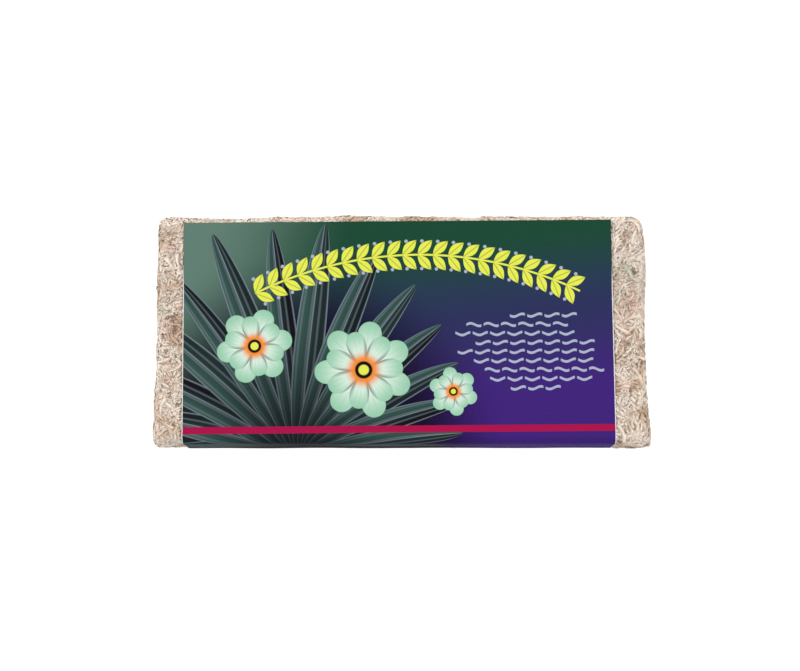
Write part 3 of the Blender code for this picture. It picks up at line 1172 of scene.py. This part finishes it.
def garland_group() -> Tree:
    """A stem along an arc, with a pair of leaves and a pair of berries at each step.

    Returns:
        The node group.
    """
    group = EffectGroup("Print_Garland", ("Place", "Centre"), ("Turn", "Radius", "Pairs", "Step", "Leaf"),
                        ("Mask", "Rib", "Berry"))
    inputs, ramp, lean = group.inputs, group.ramp, math.radians(46.0)
    x, y = group.local()
    side = abs(group.vector("DISTANCE", inputs["Place"], inputs["Centre"]) - inputs["Radius"])
    steps = group.math("ARCTAN2", x, y) * inputs["Radius"] / inputs["Step"]
    from_middle = abs(group.math("FLOOR", steps) + 0.5)
    inside = group.math("LESS_THAN", from_middle, inputs["Pairs"] * 0.5)
    part = group.math("FRACT", steps + 50.0) * inputs["Step"]
    along = part * math.cos(lean) + side * math.sin(lean)
    over = abs(side * math.cos(lean) - part * math.sin(lean))
    share = group.math("DIVIDE", along, inputs["Leaf"], clamp=True)
    leaf = ramp(group.math("SINE", share * math.pi) * (inputs["Leaf"] * 0.24) - over, 0.0, 0.25)
    berry = {0: part - inputs["Step"] * 0.3, 1: side - inputs["Leaf"] * 0.66}
    away = group.vector("LENGTH", group.read("ShaderNodeCombineXYZ", berry))
    mask = group.math("MAXIMUM", leaf, ramp(side, 0.5, 0.3)) * inside
    return group.finish(Mask=mask, Rib=leaf * ramp(over, 0.3, 0.12), Berry=ramp(away, 0.8, 0.6) * inside)


def ripple_group() -> Tree:
    """Rows of thin broken waves, longest in the middle row.

    Returns:
        The node group.
    """
    group = EffectGroup("Print_Ripples", ("Place", "Centre"), ("Turn", "Rows", "Length", "Spacing"),
                        ("Mask",))
    inputs, ramp, period = group.inputs, group.ramp, 7.0
    x, y = group.local()
    line = (y + group.math("SINE", x * 0.9) * 0.55) / inputs["Spacing"]
    row = group.math("ROUND", line)
    from_middle = (abs(row) / (inputs["Rows"] * 0.5)) ** 2.0
    lens = group.math("SQRT", group.math("MAXIMUM", 1.0 - from_middle, 0.0))
    drawn = group.read("ShaderNodeTexWhiteNoise", {"W": row}, noise_dimensions="1D")
    part = group.math("FRACT", x / period + drawn * 7.0) - 0.5
    shifted = x - part * period + (drawn - 0.5) * 12.0
    inside = group.math("LESS_THAN", abs(shifted), inputs["Length"] * 0.5 * lens)
    body = ramp(abs(line - row) * inputs["Spacing"], 0.62, 0.42) * ramp(abs(part), 0.46, 0.4)
    return group.finish(Mask=body * inside)


@dataclass(frozen=True)
class PrintFinish:
    """The colours of the card: a generic leaf and flower print, its stripe and its bare paper."""

    fibres: Tree
    green: Colour = srgb(22, 66, 47)
    blue: Colour = srgb(40, 44, 84)
    violet: Colour = srgb(58, 30, 112)
    teal: Colour = srgb(88, 116, 104)
    night: Colour = srgb(6, 4, 14)
    leaf: Colour = srgb(48, 76, 70)
    leaf_edge: Colour = srgb(128, 140, 152)
    petal: Colour = srgb(206, 222, 210)
    mint: Colour = srgb(140, 190, 160)
    orange: Colour = srgb(226, 130, 44)
    lime: Colour = srgb(214, 219, 78)
    pale: Colour = srgb(160, 167, 187)
    crimson: Colour = srgb(158, 14, 66)
    paper_white: Colour = srgb(226, 224, 220)
    paper_shade: Colour = srgb(206, 202, 194)
    blades: tuple = (
        (184.0, 60.0, 6.0, 4.0, 0.2), (170.0, 66.0, 6.0, 12.0, 0.9), (158.0, 72.0, 7.0, 10.0, 0.4),
        (146.0, 84.0, 7.5, 9.0, 0.1), (133.0, 92.0, 8.0, 8.0, 0.8), (121.0, 90.0, 7.0, 6.0, 0.3),
        (110.0, 98.0, 8.0, 2.0, 0.6), (98.0, 94.0, 7.5, -2.0, 0.1), (86.0, 96.0, 8.0, -4.0, 0.7),
        (74.0, 90.0, 7.5, -8.0, 0.3), (62.0, 84.0, 7.0, -9.0, 0.9), (50.0, 78.0, 7.0, -10.0, 0.2),
        (38.0, 74.0, 6.5, -10.0, 0.5), (26.0, 70.0, 6.0, -9.0, 0.1), (14.0, 66.0, 5.5, -7.0, 0.6),
        (0.0, 60.0, 5.0, -3.0, 0.3),
    )
    root: tuple = (-40.0, -52.0, 0.0)
    stripe_place: float = -41.0
    crease_place: float = -45.2
    cut_edge: float = 86.8
    blooms: tuple = (((-58.0, -7.0, 0.0), 15.5, 6.0, 0.2), ((-14.0, -17.0, 0.0), 20.0, 7.0, 0.5),
                     ((22.0, -26.0, 0.0), 10.0, 6.0, 0.7))

    def background(self, surface: Surface, place: Reading) -> Reading:
        """The soft change from teal on the left through green to violet, dark round the fan's root.

        Args:
            surface: The print's material.
            place: The place on the flat sheet, in millimetres.

        Returns:
            The colour.
        """
        ramp = surface.ramp
        fall = surface.vector("DOT_PRODUCT", place, (0.1, -1.0, 0.0))
        left = surface.vector("DOT_PRODUCT", place, (1.0, -0.3, 0.0))
        away = surface.vector("DISTANCE", place, self.root)
        return surface.tinted(
            self.green,
            (ramp(fall, -36.0, 2.0), self.blue),
            (ramp(fall, -4.0, 34.0), self.violet),
            (ramp(left, -28.0, -92.0), self.teal),
            (ramp(away, 86.0, 48.0) * 0.92, self.night),
        )

    def add_blades(self, surface: Surface, place: Reading, colour: Reading) -> Reading:
        """A fan of long leaves from one root, each over the one before.

        Args:
            surface: The print's material.
            place: The place on the flat sheet, in millimetres.
            colour: The colour so far.

        Returns:
            The colour with the leaves.
        """
        tree, ramp = blade_group(), surface.ramp
        for turn, length, width, bend, light in self.blades:
            blade = surface.group(tree, Place=place, Centre=self.root, Turn=math.radians(turn),
                                  Length=length, Width=width, Bend=bend)
            across, along = blade["Across"], blade["Along"]
            pleats = surface.math("SINE", across * 11.0)
            low = tuple(a + (b - a) * light * 0.35 for a, b in zip(self.night, self.leaf))
            lines = surface.math("MAXIMUM", ramp(abs(across), 0.82, 0.95), ramp(abs(across), 0.08, 0.02))
            strength = surface.math("ADD", 0.1, along * 0.8, clamp=True)
            tint = surface.tinted(
                low,
                (ramp(across, -0.5, 0.7), self.leaf),
                (ramp(pleats, 0.2, 1.3) * 0.35, self.leaf_edge),
                (ramp(along, 0.62, 0.05) * 0.9, self.night),
                (lines * strength, self.leaf_edge),
            )
            colour = surface.mix(blade["Mask"], colour, tint)
        return colour

    def add_bloom(self, surface: Surface, tree: Tree, place: Reading, colour: Reading,
                  flower: tuple) -> Reading:
        """A flower in two rings of veined petals, with an orange heart.

        Args:
            surface: The print's material.
            tree: The flower's node group.
            place: The place on the flat sheet, in millimetres.
            colour: The colour so far.
            flower: Its middle and its radius in millimetres, its petals in a ring and its turn in radians.

        Returns:
            The colour with the flower.
        """
        ramp = surface.ramp
        centre, size, petals, turn = flower
        for ring, share in ((0.5, 1.0), (0.0, 0.8)):
            bloom = surface.group(tree, Place=place, Centre=centre, Size=size * share, Petals=petals,
                                  Turn=turn + ring * math.tau / petals)
            out, across = bloom["Out"], bloom["Across"]
            veins = surface.math("SINE", across * 17.0)
            tint = surface.tinted(
                self.petal,
                (ramp(out, 0.4, 1.0), self.mint),
                (ramp(veins, 0.5, 1.2) * 0.4, self.mint),
                (ramp(abs(across), 0.5, 1.0) * 0.8, self.leaf),
                (ramp(out, 0.52, 0.24), self.orange),
            )
            colour = surface.mix(bloom["Mask"], colour, tint)
        heart = surface.mix(ramp(out, 0.15, 0.11), self.night, self.lime)
        return surface.mix(ramp(out, 0.24, 0.2), colour, heart)

    def print(self) -> bpy.types.Material:
        """The printed side, with a thin matt varnish.

        Returns:
            The material.
        """
        surface = Surface("printed_side")
        ramp, sheet = surface.ramp, surface.read("ShaderNodeUVMap", uv_map="Print")
        place = surface.vector("MULTIPLY_ADD", sheet, (200.0, 200.0, 0.0), (-100.0, -100.0, 0.0))
        x, y, _ = surface.parts(place)
        colour = self.add_blades(surface, place, self.background(surface, place))
        bloom = bloom_group()
        for flower in self.blooms:
            colour = self.add_bloom(surface, bloom, place, colour, flower)
        ripples = surface.group(ripple_group(), Place=place, Centre=(52.0, -10.0, 0.0), Rows=9.0,
                                Length=52.0, Spacing=3.7)
        garland = surface.group(garland_group(), Place=place, Centre=(8.0, -118.0, 0.0), Radius=148.0,
                                Pairs=22.0, Step=6.2, Leaf=8.6)
        speck = surface.noise(place, 1.1, 4.0, 0.7)
        creased = ramp(abs(y - self.crease_place), 1.4, 0.2)
        worn = creased * ramp(surface.noise(place, 0.35, 5.0, 0.7), 0.56, 0.8)
        cut = abs(x) + speck * 0.3 - ramp(y, 14.0, 34.0) * 0.5
        colour = surface.tinted(
            colour,
            (ripples["Mask"], self.pale),
            (garland["Mask"], surface.mix(garland["Rib"] * 0.45, self.lime, self.green)),
            (garland["Berry"], self.pale),
            (ramp(abs(y - self.stripe_place), 1.5, 1.3), self.crimson),
            (ramp(speck, 0.55, 0.85) * 0.06, self.pale),
            (worn * 0.05, self.pale),
            (ramp(cut, self.cut_edge, self.cut_edge + 0.2), self.paper_white),
        )
        rough = surface.read("ShaderNodeMapRange", {"Value": speck, "To Min": 0.6, "To Max": 0.72})
        return surface.finish({"Base Color": colour, "Roughness": rough, "Specular IOR Level": 0.06,
                               "Normal": surface.relief(speck, 0.12, 0.0001)})

    def paper(self) -> bpy.types.Material:
        """The bare paper of the card's back and cut edges.

        Returns:
            The material.
        """
        surface = Surface("bare_paper")
        fibres = surface.group(self.fibres, Place=surface.place(), Scale=1400.0)
        colour = surface.mix(fibres["Mask"], self.paper_shade, self.paper_white)
        return surface.finish({"Base Color": colour, "Roughness": 0.8,
                               "Normal": surface.relief(fibres["Height"], 0.3, 0.0001)})


@dataclass
class MossCover:
    """The shoots over one side of the brick."""

    side: Side
    area: float
    seed: int
    layers: tuple[Layer, ...]
    floor: float = 0.0008

    def build(self, guide: bpy.types.Mesh, forms: dict, finish: bpy.types.Material,
              card: PrintedCard) -> None:
        """Lay the shoots.

        Args:
            guide: The smooth surface that they lie on.
            forms: The collection of forms for each kind.
            finish: The finish of the shoots.
            card: The card that lies over some of them.
        """
        blank = new_piece(f"{self.side.value}_shoots", guide)
        LayingTree(self, forms, finish).apply_to(blank)
        mesh = finished_mesh(blank)
        places = card.tuck(read_places(mesh))
        low = places[:, 2] < self.floor
        places[low, 2] = self.floor * np.exp((places[low, 2] - self.floor) / self.floor)
        write_places(mesh, places)
        for name in ("anchor", "lift", "up", "flow", *(side.value for side in Side)):
            if name in mesh.attributes:
                mesh.attributes.remove(mesh.attributes[name])
        dress(new_piece(f"{self.side.value}_shoots", mesh), "moss_brick")


@dataclass
class Studio:
    """The pale floor, the soft lights and the camera that looks down on the brick."""

    target: Vector = field(default_factory=lambda: Vector((-0.0004, -0.0031, 0.026)))
    distance: float = 0.70
    elevation: float = 81.6
    lens: float = 78.0
    sensor: float = 36.0
    floor_colour: Colour = (0.82, 0.82, 0.82)
    white: Colour = (1.0, 1.0, 1.0)
    floor_glow: float = 0.5
    floor_size: float = 30.0
    near_clip: float = 0.01
    sky: float = 0.48
    sun_width: float = 40.0
    suns: tuple = (("far", 80.0, 42.0, 1.35), ("left", 188.0, 42.0, 1.22), ("right", -10.0, 40.0, 0.74),
                   ("near", -95.0, 35.0, 0.15))

    def build(self) -> None:
        """Set up the floor, the lights and the camera."""
        self.add_floor()
        for name, azimuth, elevation, strength in self.suns:
            self.add_sun(name, azimuth, elevation, strength)
        self.add_sky()
        bpy.context.scene.view_settings.view_transform = "Standard"
        self.add_camera()

    def add_sky(self) -> None:
        """Add an even sky, which the camera sees as a white backdrop."""
        world = bpy.data.worlds.new("studio")
        world.use_nodes = True
        graph = Graph(world.node_tree)
        seen = graph.read("ShaderNodeLightPath", output="Is Camera Ray")
        strength = graph.read("ShaderNodeMapRange", {"Value": seen, "To Min": self.sky, "To Max": 1.0})
        graph.feed(graph.tree.nodes["Background"], {"Color": opaque(self.white), "Strength": strength})
        bpy.context.scene.world = world

    def add_floor(self) -> None:
        """Add the floor, with a glow for the camera alone that keeps it white like the photograph's."""
        shape = bmesh.new()
        bmesh.ops.create_grid(shape, x_segments=1, y_segments=1, size=self.floor_size)
        mesh = bpy.data.meshes.new("floor")
        shape.to_mesh(mesh)
        shape.free()
        surface = Surface("pale_floor")
        seen = surface.read("ShaderNodeLightPath", output="Is Camera Ray")
        material = surface.finish({
            "Base Color": opaque(self.floor_colour), "Roughness": 0.9, "Emission Color": opaque(self.white),
            "Emission Strength": seen * self.floor_glow})
        new_piece("floor", mesh, material)

    def add_sun(self, name: str, azimuth: float, elevation: float, strength: float) -> None:
        """Add a broad, distant light.

        Args:
            name: Its name.
            azimuth: Where it stands round the brick, in degrees from +X towards +Y.
            elevation: How high it stands, in degrees.
            strength: Its strength in watts for each square metre.
        """
        sun = bpy.data.lights.new(name, "SUN")
        sun.energy, sun.angle = strength, math.radians(self.sun_width)
        self.aim(name, sun, Vector(), azimuth, elevation, 1.0)

    def add_camera(self) -> None:
        """Add the camera at the photograph's angle."""
        data = bpy.data.cameras.new("camera")
        data.lens, data.sensor_width, data.clip_start = self.lens, self.sensor, self.near_clip
        camera = self.aim("camera", data, self.target, -90.0, self.elevation, self.distance)
        bpy.context.scene.camera = camera

    def aim(self, name: str, data: bpy.types.ID, target: Vector, azimuth: float, elevation: float,
            distance: float) -> bpy.types.Object:
        """Add a light or a camera that faces a target.

        Args:
            name: Its name.
            data: The light or the camera.
            target: The place that it faces.
            azimuth: Where it stands round the target, in degrees from +X towards +Y.
            elevation: How high it stands, in degrees.
            distance: How far away it stands.

        Returns:
            Its object.
        """
        lean = math.radians(elevation)
        away = level_way(math.radians(azimuth)) * math.cos(lean) + Vector((0.0, 0.0, math.sin(lean)))
        item = bpy.data.objects.new(name, data)
        item.location = target + away * distance
        item.rotation_euler = (-away).to_track_quat("-Z", "Y").to_euler()
        bpy.context.scene.collection.objects.link(item)
        return item


def covers() -> list[MossCover]:
    """The covers of the five sides.

    Returns:
        The covers, with the number of forms in each layer in the order of the kinds.
    """
    thin = 1.0
    plan = {
        Side.FRONT: (0.0046, 1.3, (26, 50, 400, 30, 34, 900, 50)),
        Side.ENDS: (0.0049, 0.45, (30, 60, 420, 44, 30, 800, 60)),
        Side.FAR: (0.0052, 0.45, (32, 64, 440, 46, 32, 840, 60)),
        Side.NEAR: (0.002, 0.45, (18, 34, 240, 24, 16, 340, 30)),
        Side.BACK: (0.0186, 3.1, (48, 96, 760, 90, 70, 1100, 0)),
    }
    lifts = ((-0.0002, 0.0002), (-0.0002, 0.0002), (-0.0001, 0.0003), (0.0001, 0.0004), (0.0, 0.0003),
             (-0.0001, 0.0003), (0.0003, 0.0006))
    made = []
    for seed, (side, (area, turn, numbers)) in enumerate(plan.items()):
        layers = tuple(Layer(kind, number * thin, lift, turn)
                       for kind, number, lift in zip(ShootKind, numbers, lifts))
        made.append(MossCover(side, area, 100 + seed * 17, layers))
    return made


def main() -> None:
    """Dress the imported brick: its body, its shoots, its card and the studio round it."""
    logging.basicConfig(level=logging.INFO, format="%(name)s: %(message)s")
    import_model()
    fibres = fibre_group()
    moss = MossFinish(fibres, patch_group())
    body = PressedBody()
    body.build(moss)
    card = PrintedCard()
    guide = body.guide(card)
    forms = ShootMaker().collections()
    shoots = moss.shoots()
    for cover in covers():
        cover.build(guide, forms, shoots, card)
    card.build(PrintFinish(fibres))
    Studio().build()


if __name__ == "__main__":
    main()
